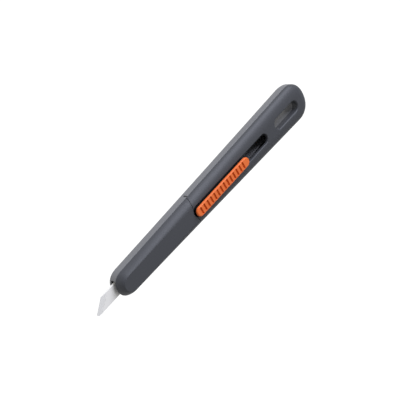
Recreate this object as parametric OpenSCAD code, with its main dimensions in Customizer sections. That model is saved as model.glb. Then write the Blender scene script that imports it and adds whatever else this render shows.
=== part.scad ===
// Slim pen-shaped utility knife with a locking thumb slider and a ceramic blade.
// The knife lies on its flat back. +X points to the blade, +Z to the front face.
// Places along the handle are measured from the tail end and called s.

/* [Handle] */
// Length of the handle, tail to nose
handle_len = 137; // [114:0.5:165]
// Width of the handle at the tail end
tail_w = 19.6; // [16.3:0.1:23.6]
// Width of the handle at the nose end
nose_w = 11.5; // [10.5:0.1:13.8]
// Thickness of the handle, back to front face
handle_h = 10.5; // [8.7:0.1:12.7]
// Depth of the front covers, from the face to the parting line
cover_h = 3.55; // [3.2:0.05:4.3]
// Length of the rounding at the nose
nose_round = 7; // [5.8:0.1:8.4]
// Length of the rounding at the tail
tail_round = 9.5; // [7.9:0.1:11.4]

/* [Walls] */
// Thickness of the side walls
wall = 1.3; // [1.1:0.05:1.6]
// Thickness of the front covers at their flat face
roof = 1.3; // [1.1:0.05:1.5]
// Thickness of the back shell's floor
floor_t = 1.5; // [1.25:0.05:1.8]
// Width of the seam between the nose cover and the rear cover
seam_gap = 0.15; // [0.1:0.01:0.2]
// How far the seam bulges towards the nose
seam_bulge = 2.1; // [1.7:0.1:2.6]

/* [Edges] */
// Width of the front edge bevel at the nose
front_run_nose = 2.3; // [1.9:0.1:2.8]
// Width of the front edge rounding at the tail
front_run_tail = 6.5; // [5.4:0.1:7.4]
// Height of the back edge bevel at the nose
back_rise_nose = 3.0; // [2.5:0.1:3.6]
// Height of the back edge rounding at the tail
back_rise_tail = 3.9; // [3.2:0.1:4.7]
// Width of the back edge bevel
back_run = 2.4; // [2:0.1:2.9]

/* [Slider slot] */
// Distance of the slot from the tail end
slot_start = 33.9; // [32.5:0.1:38]
// Length of the slot
slot_len = 55.2; // [50:0.1:60]
// Width of the slot
slot_w = 5.1; // [4.2:0.1:6.2]
// Bevel along the slot's upper edge
slot_bevel = 0.55; // [0.4:0.05:0.7]

/* [Slider] */
// Length of the thumb pad
pad_len = 38; // [35:0.1:40]
// Height of the thumb pad above the face
pad_rise = 1.9; // [1.5:0.1:2.3]
// Radius of the pad's upper edge
pad_round = 0.6; // [0.45:0.05:0.75]
// Number of grooves across the pad
groove_count = 14; // [11:1:15]
// Distance from groove to groove
groove_pitch = 2.37; // [2:0.01:2.4]
// Width of one groove
groove_w = 0.95; // [0.75:0.05:1.15]
// Depth of one groove
groove_depth = 0.8; // [0.65:0.05:0.95]
// How far the pad is pressed to unlock
press_travel = 0.8; // [0.65:0.05:1]
// Number of places where the slider locks
lock_stops = 3; // [2:1:4]

/* [Blade] */
// Width of the blade
blade_w = 5.7; // [4.7:0.1:6.9]
// Thickness of the blade
blade_t = 1.1; // [0.9:0.05:1.35]
// Length of the blade
blade_len = 33; // [27.5:0.5:36]
// How far the blade stands out of the nose
blade_out = 12.3; // [10:0.1:14.8]
// Angle of the cutting edge to the blade
edge_angle = 39.5; // [35:0.5:47]
// Width of the ground bevel at the cutting edge
edge_bevel = 2.2; // [1.8:0.1:2.6]
// Radius of the rounded tip
tip_r = 0.7; // [0.55:0.05:0.85]
// Diameter of the hole in the blade
blade_hole_d = 2.6; // [2.1:0.1:3.1]
// Depth of the blade's upper side below the parting line
blade_depth = 1.6; // [1.35:0.05:1.75]

/* [Lanyard hole] */
// Distance of the hole from the tail end
hole_start = 8.5; // [8:0.1:8.9]
// Length of the hole
hole_len = 18.3; // [15.2:0.1:18.6]
// Width of the hole
hole_w = 5.4; // [4.5:0.1:6.5]
// Bevel round the hole's two mouths
hole_bevel = 0.6; // [0.5:0.05:0.7]

/* [Fasteners] */
// Diameter of the screw shank
screw_d = 2; // [1.65:0.05:2.4]
// Diameter of the screw head
head_d = 3.8; // [3.2:0.1:4.2]

/* [Hidden] */
$fn = 48;

eps = 0.01;            // overlap that joins two shapes of one piece
cut = 20;              // overshoot of a cutting shape
slide_gap = 0.15;      // play between a sliding piece and its guide
seat_gap = 0.03;       // play of a fixed peg or screw in its hole
part_gap = 0.05;       // play between the nose cover and the back shell
hole_wall = 1.2;       // wall round the lanyard hole
arc_steps = 18;        // steps round the nose or the tail
side_steps = 3;        // steps along one side
edge_steps = 7;        // steps over the rounded front edge

// Shape of the front edge: 1 is a flat bevel, 2 an ellipse, more is fuller
edge_power_nose = 1.25;
edge_power_tail = 2.15;
end_power = 2.25;      // fullness of the nose and tail in plan

// Heights
part_h = handle_h - cover_h;
roof_h = handle_h - roof;
flange_t = 1;
flange_top = roof_h - slide_gap;
flange_h = flange_top - flange_t;
leaf_t = 0.25;
deck_h = flange_h - press_travel - leaf_t - slide_gap;
blade_top = part_h - blade_depth;
blade_h = blade_top - blade_t;
runner_h = floor_t + slide_gap;

// Widths
pad_w = slot_w - 0.5;
flange_w = slot_w + 0.9;
rail_in = slot_w / 2 + 0.75;
rail_t = 1.4;
channel_w = blade_w + 2.6;
carrier_w = channel_w - 2 * slide_gap;
tray_w = blade_w + 1.2;
tray_room_w = tray_w + 2 * slide_gap;
guide_t = 0.9;

// Places along the handle
slot_end = slot_start + slot_len;
end_gap = 0.3;         // play between the pad and the slot's end
pad_end = slot_end - end_gap;
pad_start = pad_end - pad_len;
pad_mid = (pad_start + pad_end) / 2;
travel = pad_start - slot_start - end_gap;
seam_s = slot_end - 0.45;
blade_tip = handle_len + blade_out;
blade_end = blade_tip - blade_len;
tray_end = handle_len - 6;
nose_lip = tray_end + 0.6;
deck_end = pad_end - 2;
channel_end = deck_end + end_gap;
guide_h = blade_h + 0.4;
carrier_end = pad_start - 0.5;
nose_s = handle_len - nose_round;
tail_s = tail_round;
peg_s = blade_end + 5;
keeper_s = blade_end - 4.4;
keeper_len = 13;
keeper_peg_s = blade_end - 2;
keeper_t = 0.9;
hook_len = 3;
hook_top = part_h - 1.1;
hook_places = [seam_s + 0.12 * (nose_s - seam_s), seam_s + 0.45 * (nose_s - seam_s)];
screw_places = [hole_start - 3.5, slot_start - 3.7];
screw_top = roof_h - 0.2;
boss_r = screw_d / 2 + 1;
hole_end = hole_start + hole_len;

// Pegs of the rear cover
peg_r = 0.8;
peg_place = seam_s - 6;

// Locking
leg_len = 4;
leg_w = 3.6;
leg_places = [pad_mid - 13, pad_mid + 13];
leg_depth = 1.8;
arch_span = 16;
leaf_w = 4.6;
tooth_len = 1;
tooth_w = 0.9;
tooth_h = 0.75;
tooth_base = flange_h - 0.05;
notch_h = tooth_h + slide_gap;
notch_len = tooth_len + 2 * slide_gap;
pin_r = 0.6;
spring_pin_s = pad_mid + arch_span / 2 + 1.1;
rail_h = flange_h + 0.1;
rail_end = pad_mid + 3;
bridge_s = screw_places[1] - 1.2;
bridge_end = slot_start - 0.5;

// Half width of the straight sides
function side_w(s) = (tail_w + (nose_w - tail_w) * s / handle_len) / 2;

// Distance of the rear cover's pegs from the middle plane
peg_side = side_w(peg_place) - wall - 0.6;

function mix(a, b, t) = a + (b - a) * t;

// Power of a sine or cosine that keeps its sign
function spow(x, p) = sign(x) * pow(abs(x), p);

// One outline of the handle seen from the front, drawn in by inset_tail and
// inset_nose at its two ends; each point is [s, y, share of the way to the nose]
function outline(inset_tail, inset_nose) = let (
        p = 2 / end_power,
        nx = nose_round - inset_nose,
        ny = side_w(nose_s) - inset_nose,
        tx = tail_round - inset_tail,
        ty = side_w(tail_s) - inset_tail,
        side = [for (i = [1:side_steps - 1]) i / side_steps])
    concat(
        [for (i = [0:arc_steps]) let (a = 90 - 180 * i / arc_steps)
            [nose_s + nx * spow(cos(a), p), ny * spow(sin(a), p), 1]],
        [for (t = side) [mix(nose_s, tail_s, t), -mix(ny, ty, t), 1 - t]],
        [for (i = [0:arc_steps]) let (a = -90 - 180 * i / arc_steps)
            [tail_s + tx * spow(cos(a), p), ty * spow(sin(a), p), 0]],
        [for (t = side) [mix(tail_s, nose_s, t), mix(ty, ny, t), t]]);

// Solid through a stack of outlines, lowest first;
// each level is [inset at tail, height at tail, inset at nose, height at nose]
module loft(levels) {
    rings = [for (v = levels) [for (q = outline(v[0], v[2])) [q[0], q[1], mix(v[1], v[3], q[2])]]];
    n = len(rings[0]);
    m = len(rings);
    middle = (nose_s + tail_s) / 2;
    points = concat([for (r = rings) for (q = r) q],
        [[middle, 0, levels[0][1]], [middle, 0, levels[m - 1][1]]]);
    sides = [for (k = [0:m - 2]) for (i = [0:n - 1]) let (j = (i + 1) % n)
        each [[k * n + i, k * n + j, (k + 1) * n + j], [k * n + i, (k + 1) * n + j, (k + 1) * n + i]]];
    low = [for (i = [0:n - 1]) [m * n, (i + 1) % n, i]];
    high = [for (i = [0:n - 1]) [m * n + 1, (m - 1) * n + i, (m - 1) * n + (i + 1) % n]];
    polyhedron(points, concat(sides, low, high));
}

// Levels over the front edge, from the parting line to a flat face
function front_levels(inset, top, slim) = [for (k = [0:edge_steps]) let (
        a = 90 * k / edge_steps,
        pt = 2 / edge_power_tail,
        pn = 2 / edge_power_nose,
        rise = top - part_h)
    [inset + (front_run_tail - slim) * (1 - spow(cos(a), pt)), part_h + rise * spow(sin(a), pt),
     inset + (front_run_nose - slim) * (1 - spow(cos(a), pn)), part_h + rise * spow(sin(a), pn)]];

module front_body() {
    loft(front_levels(0, handle_h, 0));
}

module front_hollow() {
    low = [wall, part_h - 1, wall, part_h - 1];
    loft(concat([low], front_levels(wall, roof_h - 0.05, 0.5)));
}

module back_body() {
    mid_share = 0.35;
    loft([[back_run, 0, back_run, 0],
          [back_run * mid_share, back_rise_tail * 0.5, back_run * 0.5, back_rise_nose * 0.5],
          [0, back_rise_tail, 0, back_rise_nose],
          [0, part_h, 0, part_h]]);
}

module back_hollow() {
    low = floor_t + 0.1;
    loft([[wall + back_run * 0.8, low, wall + back_run * 0.8, low],
          [wall, back_rise_tail + 0.6, wall, back_rise_nose + 0.6],
          [wall, part_h + 1, wall, part_h + 1]]);
}

// Slot shape with round ends between two places, standing on the XY plane
module slot_block(s0, s1, w, h) {
    linear_extrude(height = h) {
        translate([s0 + w / 2, -w / 2]) square([s1 - s0 - w, w]);
        translate([s0 + w / 2, 0]) circle(d = w);
        translate([s1 - w / 2, 0]) circle(d = w);
    }
}

// Cutter that bevels the upper mouth of a slot; its widest part is at z = 0
module mouth_bevel(s0, s1, w, b) {
    for (s = [s0 + w / 2, s1 - w / 2]) {
        translate([s, 0, -b]) cylinder(h = b + eps, r1 = w / 2, r2 = w / 2 + b + eps);
    }
    translate([s0 + w / 2, 0, 0]) rotate([90, 0, 90]) linear_extrude(height = s1 - s0 - w)
        polygon([[-w / 2, -b], [w / 2, -b], [w / 2 + b + eps, eps], [-w / 2 - b - eps, eps]]);
}

module box(s0, s1, y0, y1, z0, z1) {
    translate([s0, y0, z0]) cube([s1 - s0, y1 - y0, z1 - z0]);
}

// Two boxes, one on each side of the middle plane
module side_boxes(s0, s1, y0, y1, z0, z1) {
    box(s0, s1, y0, y1, z0, z1);
    box(s0, s1, -y1, -y0, z0, z1);
}

// Region behind the curved seam, grown by extra
module behind_seam(extra) {
    w = side_w(seam_s);
    r = (w * w + seam_bulge * seam_bulge) / (2 * seam_bulge);
    linear_extrude(height = handle_h + cut) {
        translate([seam_s - r, 0]) circle(r = r + extra, $fn = 96);
        translate([-cut, -cut]) square([seam_s - r + cut, 2 * cut]);
    }
}

module lanyard_opening() {
    translate([0, 0, -cut / 2]) slot_block(hole_start, hole_end, hole_w, handle_h + cut);
    translate([0, 0, handle_h]) mouth_bevel(hole_start, hole_end, hole_w, hole_bevel);
    mirror([0, 0, 1]) mouth_bevel(hole_start, hole_end, hole_w, hole_bevel);
}

module slider_opening() {
    translate([0, 0, part_h + 0.2]) slot_block(slot_start, slot_end, slot_w, cut);
    translate([0, 0, handle_h]) mouth_bevel(slot_start, slot_end, slot_w, slot_bevel);
}

// Room under the covers for the pad's flange over its whole travel, and for the rail
module under_cover_room() {
    w = flange_w / 2 + slide_gap;
    rail_w = rail_in + rail_t + seat_gap;
    box(slot_start - end_gap, slot_end + 1, -w, w, part_h - 2, roof_h - eps);
    box(bridge_s - seat_gap, rail_end + seat_gap, -rail_w, rail_w, part_h - 3, roof_h);
}

module to_middle() {
    translate([-blade_tip / 2, 0, 0]) children();
}

module cylinders_at(places, r, z0, z1) {
    for (q = places) translate([q[0], q[1], z0]) cylinder(h = z1 - z0, r = r);
}

screw_points = [for (s = screw_places) [s, 0]];
peg_points = [[peg_place, peg_side], [peg_place, -peg_side]];

// Everything that stands inside the back shell
module back_inside() {
    hole_w_out = hole_w + 2 * hole_wall;
    difference() {
        union() {
            translate([0, 0, -1])
                slot_block(hole_start - hole_wall, hole_end + hole_wall, hole_w_out, handle_h);
            cylinders_at(screw_points, head_d / 2 + 0.6, -1.5, handle_h);
            // Guides of the carrier
            side_boxes(hole_end + 3, channel_end, channel_w / 2, channel_w / 2 + guide_t, -2, guide_h);
            side_boxes(channel_end - 2, nose_lip, tray_room_w / 2, tray_room_w / 2 + guide_t, -1, guide_h + 0.1);
            // Solid nose
            box(nose_lip - 4, handle_len + 5, -nose_w, nose_w, -2.5, handle_h + 1);
            cylinders_at(peg_points, peg_r + 0.7, -3, handle_h + 2);
            // Ledges that hold the nose cover's hooks
            for (s = hook_places) side_boxes(s - hook_len / 2, s + hook_len / 2, side_w(s) - wall - 0.65,
                side_w(s) + 1, hook_top + slide_gap, handle_h + 3);
        }
        carrier_way(floor_t - 0.5);
    }
}

// Way of the carrier: wide for its deck, narrow for its tray
module carrier_way(z) {
    box(carrier_end - travel - end_gap, channel_end, -channel_w / 2, channel_w / 2, z, handle_h + 4);
    box(channel_end - 1, nose_lip, -tray_room_w / 2, tray_room_w / 2, z, handle_h + 4);
}

module back_shell() {
    mouth_w = channel_w / 2 - 0.05;
    notch_s = seam_s - seam_bulge;
    color("#45474b") to_middle() difference() {
        back_body();
        difference() {
            back_hollow();
            back_inside();
        }
        carrier_way(floor_t);
        // Mouth that the blade passes
        box(nose_lip - 0.5, handle_len + cut, -mouth_w, mouth_w, blade_h - slide_gap, handle_h);
        lanyard_opening();
        cylinders_at(screw_points, screw_d / 2 + 0.15, -1, handle_h);
        cylinders_at(screw_points, head_d / 2 + 0.2, -2, floor_t);
        cylinders_at(peg_points, peg_r + seat_gap, floor_t + 1, handle_h);
        // Fingernail notch at each end of the seam
        side_boxes(notch_s - 1, notch_s, side_w(seam_s) - 0.35, tail_w, part_h - 2.2, handle_h);
    }
}

// Everything that stands inside the front covers
module front_inside() {
    hole_w_out = hole_w + 2 * hole_wall;
    translate([0, 0, part_h - 2])
        slot_block(hole_start - hole_wall, hole_end + hole_wall, hole_w_out, handle_h);
    cylinders_at(screw_points, boss_r, part_h - 2.5, handle_h + 1);
    cylinders_at(peg_points, peg_r + 0.4, part_h - 3, handle_h + 2);
    // Blocks above the hooks of the nose cover
    for (s = hook_places) side_boxes(s - hook_len / 2, s + hook_len / 2, side_w(s) - wall - 1.4,
        side_w(s) + 1, part_h + 0.5, handle_h + 3);
}

// Front half of the housing before it is split at the seam
module front_shell() {
    difference() {
        front_body();
        difference() {
            front_hollow();
            front_inside();
        }
        under_cover_room();
        slider_opening();
        lanyard_opening();
    }
}

module rear_cover() {
    color("#4c4e53") to_middle() difference() {
        union() {
            intersection() {
                front_shell();
                behind_seam(0);
            }
            cylinders_at(peg_points, peg_r, part_h - 3, part_h + 1.5);
        }
        cylinders_at(screw_points, screw_d / 2 + seat_gap, part_h - 1, screw_top + 0.2);
    }
}

module nose_cover() {
    color("#494b50") to_middle() union() {
        difference() {
            front_shell();
            behind_seam(seam_gap);
            box(-cut, handle_len + cut, -cut, cut, part_h - 1, part_h + part_gap);
        }
        for (s = hook_places) for (m = [0, 1]) mirror([0, m, 0]) hook(s);
    }
}

// One hook under the nose cover, on the +Y side
module hook(s) {
    y_wall = side_w(s) - wall;
    foot_h = 0.75;
    s0 = s - hook_len / 2 + 0.1;
    s1 = s + hook_len / 2 - 0.1;
    y_arm = max(y_wall - 1.35, tray_w / 2 + 0.15);
    box(s0, s1, y_arm, y_wall - 0.8, hook_top - foot_h, part_h + 1.2);
    box(s0, s1, y_arm, y_wall - 0.3, hook_top - foot_h, hook_top);
}

module notch_rail() {
    color("#1d1d1f") to_middle() difference() {
        union() {
            side_boxes(bridge_s, rail_end, rail_in, rail_in + rail_t, rail_h, roof_h);
            box(bridge_s, bridge_end, -rail_in - eps, rail_in + eps, rail_h, roof_h);
        }
        cylinders_at(screw_points, boss_r + seat_gap, 0, handle_h);
        for (k = [0:lock_stops - 1]) {
            s = pad_mid - travel * k / (lock_stops - 1);
            box(s - notch_len / 2, s + notch_len / 2, -tail_w, tail_w, rail_h - eps, tooth_base + notch_h);
        }
    }
}

module slider_button() {
    pad_top = handle_h + pad_rise;
    groove_span = pad_w - 1.4;
    cap_z = handle_h + 0.75;
    neck_in = 1;
    color("#f0742f") to_middle() union() {
        difference() {
            union() {
                translate([0, 0, flange_h])
                    slot_block(pad_start + neck_in, pad_end - neck_in, pad_w - 2 * neck_in, cap_z + eps - flange_h);
                translate([0, 0, cap_z]) slot_block(pad_start, pad_end, pad_w, pad_top - pad_round - cap_z);
                hull() for (s = [pad_start + pad_w / 2, pad_end - pad_w / 2])
                    translate([s, 0, pad_top - pad_round - eps]) pad_edge();
            }
            for (k = [0:groove_count - 1]) {
                s = pad_mid + 0.8 + (k - (groove_count - 1) / 2) * groove_pitch;
                translate([s - groove_w / 2, -groove_span / 2, pad_top - groove_depth])
                    cube([groove_w, groove_span, cut]);
            }
        }
        box(pad_start + 0.4, deck_end, -flange_w / 2, flange_w / 2, flange_h, flange_top);
        for (s = leg_places) box(s - leg_len / 2, s + leg_len / 2, -leg_w / 2, leg_w / 2,
            deck_h - leg_depth, flange_h + eps);
    }
}

// Rounded end of the pad's upper edge
module pad_edge() {
    rotate_extrude($fn = 40) intersection() {
        union() {
            translate([pad_w / 2 - pad_round, eps]) circle(r = pad_round, $fn = 24);
            square([pad_w / 2 - pad_round, pad_round + eps]);
        }
        square([pad_w, pad_w]);
    }
}

module slide_carrier() {
    wall_t = 1.2;
    tray_start = deck_end - eps;
    color("#232325") to_middle() difference() {
        union() {
            box(carrier_end, deck_end, -carrier_w / 2, carrier_w / 2, runner_h, deck_h);
            box(tray_start, tray_end, -tray_w / 2, tray_w / 2, runner_h, blade_h);
            box(tray_start, blade_end - 0.2, -tray_w / 2, tray_w / 2, runner_h, blade_top);
            translate([peg_s, 0, blade_h - eps]) cylinder(h = blade_t + keeper_t + eps, d = blade_hole_d - 0.2);
            translate([keeper_peg_s, 0, blade_h]) cylinder(h = blade_t + keeper_t, r = peg_r);
            translate([spring_pin_s, 0, deck_h - eps]) cylinder(h = leaf_t + 0.1, r = pin_r);
        }
        // Hollow underside, pockets of the pad's legs
        box(carrier_end + wall_t, deck_end - wall_t, -carrier_w / 2 + wall_t, carrier_w / 2 - wall_t,
            runner_h - eps, deck_h - 1.4);
        box(deck_end + wall_t, blade_end - 2, -tray_w / 2 + wall_t, tray_w / 2 - wall_t,
            runner_h - eps, blade_h - 0.9);
        for (s = leg_places) box(s - leg_len / 2 - slide_gap, s + leg_len / 2 + slide_gap,
            -leg_w / 2 - slide_gap, leg_w / 2 + slide_gap, runner_h - eps, handle_h);
    }
}

// Arched leaf with two flat feet, and a tooth on each side of its crown
module lock_spring() {
    rise = tooth_base - deck_h - leaf_t;
    r = (arch_span * arch_span / 4 + rise * rise) / (2 * rise);
    foot = 2.2;
    y_tooth = rail_in + (rail_t - tooth_w) / 2;
    color("#b9bcc0") to_middle() translate([0, 0, deck_h]) difference() {
        union() {
            rotate([90, 0, 0]) linear_extrude(height = leaf_w, center = true) {
                intersection() {
                    translate([pad_mid, rise - r]) difference() {
                        circle(r = r + leaf_t, $fn = 240);
                        circle(r = r, $fn = 240);
                    }
                    translate([pad_mid - arch_span / 2, 0]) square([arch_span, rise + 1]);
                }
                for (m = [0, 1]) translate([pad_mid + (m - 0.5) * (arch_span + foot - 0.4) - foot / 2, 0])
                    square([foot, leaf_t]);
            }
            for (m = [0, 1]) mirror([0, m, 0]) {
                translate([pad_mid - tooth_len / 2, leaf_w / 2 - 0.3, rise])
                    cube([tooth_len, y_tooth + tooth_w - leaf_w / 2 + 0.3, leaf_t - 0.02]);
                translate([pad_mid - tooth_len / 2, y_tooth, rise])
                    cube([tooth_len, tooth_w, leaf_t + tooth_h]);
            }
        }
        translate([spring_pin_s, 0, -1]) cylinder(h = 3, r = pin_r + seat_gap);
    }
}

// Centre of the tip's rounding
tip_centre = [blade_tip - tip_r, blade_w / 2 - tip_r];

// Outline of the blade; the tip's arc runs from the edge to the lower side
function blade_points() = let (
        n = 10,
        corner_cut = 0.8,
        top_s = tip_centre[0] + tip_r * cos(edge_angle - 90)
            - (tip_centre[1] + tip_r * sin(edge_angle - 90) + blade_w / 2) / tan(edge_angle))
    concat(
        [[blade_end + corner_cut, -blade_w / 2], [top_s, -blade_w / 2]],
        [for (i = [0:n]) let (a = mix(edge_angle - 90, 90, i / n))
            tip_centre + tip_r * [cos(a), sin(a)]],
        [[blade_end + corner_cut, blade_w / 2], [blade_end, blade_w / 2 - corner_cut],
         [blade_end, -blade_w / 2 + corner_cut]]);

module blade() {
    edge_t = 0.12;
    // A point on the cutting edge and the wedge that grinds one side of it
    p = tip_centre + tip_r * [cos(edge_angle - 90), sin(edge_angle - 90)];
    color("#ececea") to_middle() difference() {
        translate([0, 0, blade_h]) linear_extrude(height = blade_t) polygon(blade_points());
        for (m = [0, 1]) translate([p[0], p[1], blade_h + blade_t / 2]) mirror([0, 0, m])
            rotate([0, 0, edge_angle]) rotate([90, 0, 90]) linear_extrude(height = 40, center = true)
                polygon([[-1, edge_t / 2], [0, edge_t / 2], [edge_bevel, blade_t / 2 + eps], [edge_bevel, 2], [-1, 2]]);
        translate([peg_s, 0, 0]) cylinder(h = handle_h, d = blade_hole_d);
    }
}

// Small clip that holds the blade on its peg
module blade_keeper() {
    color("#2a2a2c") to_middle() difference() {
        union() {
            box(keeper_s, keeper_s + keeper_len, -blade_w / 2, blade_w / 2, blade_top, blade_top + keeper_t);
            box(keeper_s + keeper_len - 0.8, keeper_s + keeper_len, -blade_w / 2, blade_w / 2,
                blade_top, blade_top + keeper_t + 0.35);
        }
        translate([peg_s, 0, 0]) cylinder(h = handle_h, d = blade_hole_d - 0.2 + 2 * seat_gap);
        translate([keeper_peg_s, 0, 0]) cylinder(h = handle_h, r = peg_r + seat_gap);
    }
}

module housing_screws() {
    head_t = 1.1;
    socket_d = 1.5;
    head_h = floor_t - head_t;
    color("#8d9094") to_middle() for (s = screw_places) translate([s, 0, 0]) difference() {
        union() {
            translate([0, 0, head_h]) cylinder(h = head_t, d = head_d);
            translate([0, 0, floor_t - eps]) cylinder(h = screw_top - floor_t, d = screw_d);
        }
        translate([0, 0, head_h - eps]) cylinder(h = 0.8, d = socket_d, $fn = 6);
    }
}

back_shell();
rear_cover();
nose_cover();
notch_rail();
slider_button();
slide_carrier();
lock_spring();
blade();
blade_keeper();
housing_screws();
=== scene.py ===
"""Slim utility knife: moulded handle shells, grooved thumb slider and ceramic blade, lying on its back.

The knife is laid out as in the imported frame: +X points to the blade, +Z to the front face, and the flat back
lies on z = 0. Places along the handle are measured from the tail end in metres and called s.
"""
import logging
import math
from dataclasses import dataclass
from enum import Enum
from typing import Callable, Iterable, Sequence

import bmesh
import bpy
from mathutils import Euler, Matrix, Vector


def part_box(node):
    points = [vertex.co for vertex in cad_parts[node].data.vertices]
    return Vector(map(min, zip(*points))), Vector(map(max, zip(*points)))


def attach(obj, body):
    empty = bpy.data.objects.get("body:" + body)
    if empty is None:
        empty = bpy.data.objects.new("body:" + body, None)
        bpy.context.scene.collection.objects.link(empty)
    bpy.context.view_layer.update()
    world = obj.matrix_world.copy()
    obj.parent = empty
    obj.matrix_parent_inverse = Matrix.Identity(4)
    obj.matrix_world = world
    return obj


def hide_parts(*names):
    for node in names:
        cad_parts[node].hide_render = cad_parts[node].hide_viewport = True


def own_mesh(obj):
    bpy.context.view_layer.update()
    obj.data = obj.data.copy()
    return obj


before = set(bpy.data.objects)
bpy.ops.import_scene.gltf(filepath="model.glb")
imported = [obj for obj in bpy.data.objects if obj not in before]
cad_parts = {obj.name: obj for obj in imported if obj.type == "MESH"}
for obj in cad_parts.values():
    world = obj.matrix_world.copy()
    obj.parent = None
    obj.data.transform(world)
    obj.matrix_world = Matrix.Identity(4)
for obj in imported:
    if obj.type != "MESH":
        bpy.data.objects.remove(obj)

MM = 0.001
WELD = 0.002 * MM
SLIVER = 0.001 * MM
PACK_WELD = 0.005 * MM
SHARP_DEG = 32.0
ROUND_STEPS = 48
LOG = logging.getLogger("knife")
Ring = list[Vector]


class Body(Enum):
    """Rigid bodies of the knife that a piece can ride on."""

    HANDLE = "handle"
    SLIDE = "slide"
    BUTTON = "button"
    NOSE_LID = "nose_lid"


class Op(Enum):
    """Ways to combine two solids."""

    CUT = "DIFFERENCE"
    JOIN = "UNION"
    KEEP = "INTERSECT"


# ---------------------------------------------------------------------------------------------- mesh tools


def mix(a: float, b: float, t: float) -> float:
    """Value between a and b at share t."""
    return a + (b - a) * t


def signed_power(x: float, p: float) -> float:
    """Power of x that keeps its sign."""
    return math.copysign(abs(x) ** p, x)


def to_object(bm: bmesh.types.BMesh, name: str) -> bpy.types.Object:
    """Turns a bmesh into an object of the scene.

    Args:
        bm: The mesh, which is freed.
        name: The object's name.

    Returns:
        The new object, at the origin.
    """
    mesh = bpy.data.meshes.new(name)
    bm.to_mesh(mesh)
    bm.free()
    obj = bpy.data.objects.new(name, mesh)
    bpy.context.scene.collection.objects.link(obj)
    return obj


def loft(name: str, rings: Sequence[Ring]) -> bpy.types.Object:
    """Closed solid through a stack of rings with the same number of points.

    Args:
        name: The object's name.
        rings: The rings, from one end of the solid to the other.

    Returns:
        The solid.
    """
    bm = bmesh.new()
    loops = []
    for ring in rings:
        verts = [bm.verts.new(p) for p in ring]
        loops.append([bm.edges.new((a, b)) for a, b in zip(verts, verts[1:] + verts[:1])])
    for low, high in zip(loops, loops[1:]):
        bmesh.ops.bridge_loops(bm, edges=low + high)
    for loop in (loops[0], loops[-1]):
        bmesh.ops.contextual_create(bm, geom=loop)
    bmesh.ops.recalc_face_normals(bm, faces=bm.faces)
    return to_object(bm, name)


def add_box(bm: bmesh.types.BMesh, low: Sequence[float], high: Sequence[float]) -> None:
    """Adds a box between two corners.

    Args:
        bm: The mesh that gets the box.
        low: Lowest corner.
        high: Highest corner.
    """
    size = Vector(high) - Vector(low)
    middle = (Vector(high) + Vector(low)) / 2
    bmesh.ops.create_cube(bm, size=1, matrix=Matrix.Translation(middle) @ Matrix.Diagonal((*size, 1)))


def add_side_boxes(bm: bmesh.types.BMesh, low: Sequence[float], high: Sequence[float]) -> None:
    """Adds a box on the +Y side and its mirror image on the -Y side."""
    add_box(bm, low, high)
    add_box(bm, (low[0], -high[1], low[2]), (high[0], -low[1], high[2]))


def add_cylinder(bm: bmesh.types.BMesh, x: float, y: float, radius: float, z0: float, z1: float) -> None:
    """Adds an upright cylinder.

    Args:
        bm: The mesh that gets the cylinder.
        x: Place of its axis along the knife.
        y: Place of its axis across the knife.
        radius: Its radius.
        z0: Height of its lower end.
        z1: Height of its upper end.
    """
    place = Matrix.Translation((x, y, (z0 + z1) / 2))
    bmesh.ops.create_cone(bm, cap_ends=True, segments=ROUND_STEPS, radius1=radius, radius2=radius,
                          depth=z1 - z0, matrix=place)


def solid(name: str, fill: Callable[[bmesh.types.BMesh], None]) -> bpy.types.Object:
    """Object from a function that fills a bmesh."""
    bm = bmesh.new()
    fill(bm)
    return to_object(bm, name)


def box_object(low: Sequence[float], high: Sequence[float]) -> bpy.types.Object:
    """Box between two corners, as an object."""
    return solid("box", lambda bm: add_box(bm, low, high))


def remove(obj: bpy.types.Object) -> None:
    """Deletes an object with its mesh."""
    mesh = obj.data
    bpy.data.objects.remove(obj)
    bpy.data.meshes.remove(mesh)


def apply_modifiers(obj: bpy.types.Object) -> None:
    """Makes an object's modifiers part of its mesh."""
    graph = bpy.context.evaluated_depsgraph_get()
    made = bpy.data.meshes.new_from_object(obj.evaluated_get(graph))
    old = obj.data
    obj.modifiers.clear()
    obj.data = made
    bpy.data.meshes.remove(old)


def combine(obj: bpy.types.Object, tool: bpy.types.Object, op: Op) -> bpy.types.Object:
    """Combines an object with another one, which is used up.

    Args:
        obj: The object that stays.
        tool: The object that is cut out, joined or kept.
        op: What is done.

    Returns:
        The first object.
    """
    mod = obj.modifiers.new("combine", "BOOLEAN")
    mod.operation = op.value
    mod.solver = "MANIFOLD"
    mod.object = tool
    apply_modifiers(obj)
    if not obj.data.polygons:
        raise ValueError(f"{obj.name}: nothing is left after {op.name} with {tool.name}")
    remove(tool)
    return obj


def finish_surface(obj: bpy.types.Object, sharp_deg: float, flat_weight: int = 80) -> None:
    """Cleans a finished mesh and shades it smooth between its sharp edges.

    Args:
        obj: The object.
        sharp_deg: Edges that turn by more than this stay sharp.
        flat_weight: How much large faces count in the shading, from 1 to 100.
    """
    bm = bmesh.new()
    bm.from_mesh(obj.data)
    bmesh.ops.remove_doubles(bm, verts=bm.verts, dist=WELD)
    bmesh.ops.dissolve_degenerate(bm, edges=bm.edges, dist=SLIVER)
    bm.to_mesh(obj.data)
    bm.free()
    obj.data.shade_smooth()
    obj.data.set_sharp_from_angle(angle=math.radians(sharp_deg))
    mod = obj.modifiers.new("even_shading", "WEIGHTED_NORMAL")
    mod.keep_sharp = True
    mod.weight = flat_weight
    apply_modifiers(obj)


# ------------------------------------------------------------------------------------------ shader tools


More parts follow.
